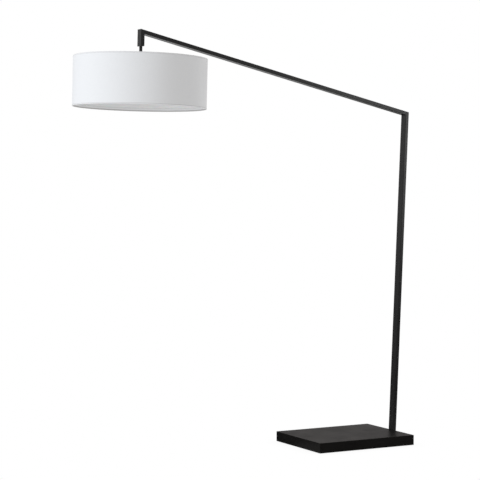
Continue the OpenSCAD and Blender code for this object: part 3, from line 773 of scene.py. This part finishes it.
def screw_cap():
    """The bulb's cap: a threaded wall round a core whose crown is metal and black glass."""
    low, high, _, cap_r = span("bulb_cap")
    wall_low, wall_high = low + 0.4 * MM, high - 4.6 * MM
    threaded_wall(
        "bulb_thread", wall_low, wall_high, cap_r - 0.75 * MM, 0.3 * MM, "bulb_screw", ["bulb_cap"]
    )
    metal, glass = 0, 1
    crown = [
        (0.0, 0.0, metal), (2.2, 0.1, metal), (3.6, 0.8, metal), (4.0, 1.2, glass), (8.2, 2.9, glass),
        (9.0, 3.3, metal), (11.2, 4.0, metal), (12.0, 4.6, metal), (12.0, 6.0, metal), (11.6, 6.0, metal),
    ]
    profile = [(r * MM, high - below * MM, slot) for r, below, slot in crown]
    core_low = low + 0.2 * MM
    profile += [(11.4 * MM, core_low, metal), (0.0, core_low, metal)]
    lathe("bulb_crown", profile, ["bulb_screw", "phenolic"], ["bulb_cap"])


def holder_thread():
    low, high, _, shell_r = span("screw_shell")
    threaded_wall(
        "holder_thread", low, high, shell_r - 0.85 * MM, 0.35 * MM, "brass", ["screw_shell"]
    )


screw_cap()
holder_thread()

# ---------- stage and light ----------

scene = bpy.context.scene
scene.view_settings.view_transform = "Standard"
scene.view_settings.look = "None"

# How bright the surroundings are. The camera, matt surfaces and glossy ones each see a level of
# their own, which no real studio could do.
BACKDROP = 1.0
SKY_MATT, SKY_GLOSS = 0.40, 0.02
FLOOR_MATT, FLOOR_GLOSS = 0.88, 0.02

# Soft white panels that only gloss sees: direction, outer and inner half angle in degrees, level.
# The first three are the main ones; the others serve the lamp's other sides.
BACK = (0.42, 0.87, 0.30)
PANELS = [
    (BACK, 34, 8, 0.275),
    ((-0.53, 0.84, 0.05), 30, 8, 0.50),
    ((0.42, -0.88, 0.16), 24, 8, 0.43),
    ((1.0, 0.05, 0.15), 38, 12, 0.45),
    ((-1.0, -0.25, 0.15), 32, 10, 0.40),
    ((-0.55, -0.80, 0.25), 30, 10, 0.35),
    ((-0.10, -0.92, 0.42), 26, 10, 0.30),
    ((0.0, 0.0, 1.0), 50, 20, 0.30),
]
# The same for the reflection of the floor, by the way a place lies from the lamp.
FLOOR_PANELS = [
    ((1.0, 0.05, 0.0), 45, 20, 0.40),
    ((0.1, 1.0, 0.0), 25, 10, 0.30),
    ((-1.0, -0.25, 0.0), 35, 15, 0.12),
]
# The floor well behind the lamp, which gloss on the arm's underside sees: its level, and the metres
# over which it sets in.
FAR_FLOOR = 0.44
FAR_Y, FAR_X = (3.0, 6.0), (-0.5, 1.5)

FAINT_WARMTH = (1.03, 0.985, 0.97)
COOL, WARM = (0.885, 0.938, 1.0), (1.0, 0.99, 0.985)


def lobe(g, direction, toward, wide, tight):
    """1 towards a direction, falling to 0 between two angles in degrees."""
    dot = g.node("ShaderNodeVectorMath", {"operation": "DOT_PRODUCT"})
    g.feed(dot.inputs[0], direction)
    dot.inputs[1].default_value = Vector(toward).normalized()
    low, high = math.cos(math.radians(wide)), math.cos(math.radians(tight))
    return g.remap(dot.outputs["Value"], low, high, smooth=True)


def with_panels(g, shiny, direction, panels):
    """That level with the panels' light added."""
    for toward, wide, tight, level in panels:
        shiny = g.math("ADD", shiny, g.math("MULTIPLY", lobe(g, direction, toward, wide, tight), level))
    return shiny


def pick(g, test, yes, no):
    """yes where test is 1 and no where it is 0."""
    rest = g.math("MULTIPLY", g.math("SUBTRACT", 1.0, test), no)
    return g.math("ADD", g.math("MULTIPLY", test, yes), rest)


def studio_world():
    world = bpy.data.worlds.new("studio")
    scene.world = world
    world.use_nodes = True
    world.cycles.sampling_method = "NONE"
    g = Graph(world.node_tree)
    g.tree.nodes.clear()
    path = g.node("ShaderNodeLightPath").outputs
    direction = g.node("ShaderNodeTexCoord").outputs["Generated"]
    shiny = with_panels(g, SKY_GLOSS, direction, PANELS)
    unseen = pick(g, path["Is Glossy Ray"], shiny, SKY_MATT)
    lit = g.node("ShaderNodeBackground")
    warm = g.math("MULTIPLY", lobe(g, direction, BACK, 50, 20), path["Is Glossy Ray"])
    g.feed(lit.inputs["Color"], g.blend(warm, (1.0, 1.0, 1.0), FAINT_WARMTH))
    g.feed(lit.inputs["Strength"], pick(g, path["Is Camera Ray"], BACKDROP, unseen))
    g.feed(g.node("ShaderNodeOutputWorld").inputs["Surface"], lit.outputs[0])


def studio_floor():
    """A pale floor that runs into the backdrop, with a faint shade close round what stands on it."""
    far, shade_reach, shade_level = 60.0, 0.10, 0.90
    mesh = bpy.data.meshes.new("floor")
    mesh.from_pydata([(-far, -far, 0), (far, -far, 0), (far, far, 0), (-far, far, 0)], [], [(0, 1, 2, 3)])
    floor = bpy.data.objects.new("floor", mesh)
    scene.collection.objects.link(floor)
    material = bpy.data.materials.new("pale_floor")
    material.use_nodes = True
    material.cycles.emission_sampling = "NONE"
    g = Graph(material.node_tree)
    g.tree.nodes.clear()
    path = g.node("ShaderNodeLightPath").outputs
    near = g.node("ShaderNodeAmbientOcclusion", {"samples": 8}, Distance=shade_reach).outputs["AO"]
    seen = g.remap(near, 0.0, 1.0, shade_level * BACKDROP, BACKDROP)
    spot = g.node("ShaderNodeNewGeometry").outputs["Position"]
    place = g.node("ShaderNodeSeparateXYZ")
    g.feed(place.inputs[0], spot)
    way = g.node("ShaderNodeVectorMath", {"operation": "NORMALIZE"})
    g.feed(way.inputs[0], spot)
    behind = g.math("MULTIPLY", g.remap(place.outputs[1], *FAR_Y, smooth=True), FAR_FLOOR)
    behind = g.math("MULTIPLY", behind, g.remap(place.outputs[0], *FAR_X, smooth=True))
    shiny = with_panels(g, g.math("ADD", behind, FLOOR_GLOSS), way.outputs["Vector"], FLOOR_PANELS)
    unseen = pick(g, path["Is Glossy Ray"], shiny, FLOOR_MATT)
    glow = g.node("ShaderNodeEmission")
    g.feed(glow.inputs["Strength"], pick(g, path["Is Camera Ray"], seen, unseen))
    g.feed(g.node("ShaderNodeOutputMaterial").inputs["Surface"], glow.outputs[0])
    mesh.materials.append(material)


def softbox(name, place, aim, size, watts, colour=(1.0, 1.0, 1.0), matt=True, glossy=True):
    """A soft rectangular lamp that the camera doesn't see, for matt surfaces, glossy ones or both."""
    data = bpy.data.lights.new(name, "AREA")
    data.shape = "RECTANGLE"
    data.size, data.size_y = size
    data.energy = watts
    data.color = colour
    made = bpy.data.objects.new(name, data)
    made.location = place
    made.rotation_mode = "QUATERNION"
    made.rotation_quaternion = (Vector(aim) - Vector(place)).to_track_quat("-Z", "Y")
    made.visible_camera = False
    made.visible_glossy = glossy
    made.visible_diffuse = matt
    scene.collection.objects.link(made)


studio_world()
studio_floor()
softbox("key_left", (-7.6, -0.6, 2.5), (-1.0, 0.0, 1.6), (2.4, 2.4), 203.0, COOL, glossy=False)
softbox("rim_right", (4.4, 2.2, 2.3), (-1.0, 0.0, 1.9), (1.6, 1.6), 97.0, WARM, glossy=False)
softbox("edge_right", (3.35, -4.2, 2.0), (3.0, 0.0, 2.0), (1.7, 1.8), 22.0, matt=False)
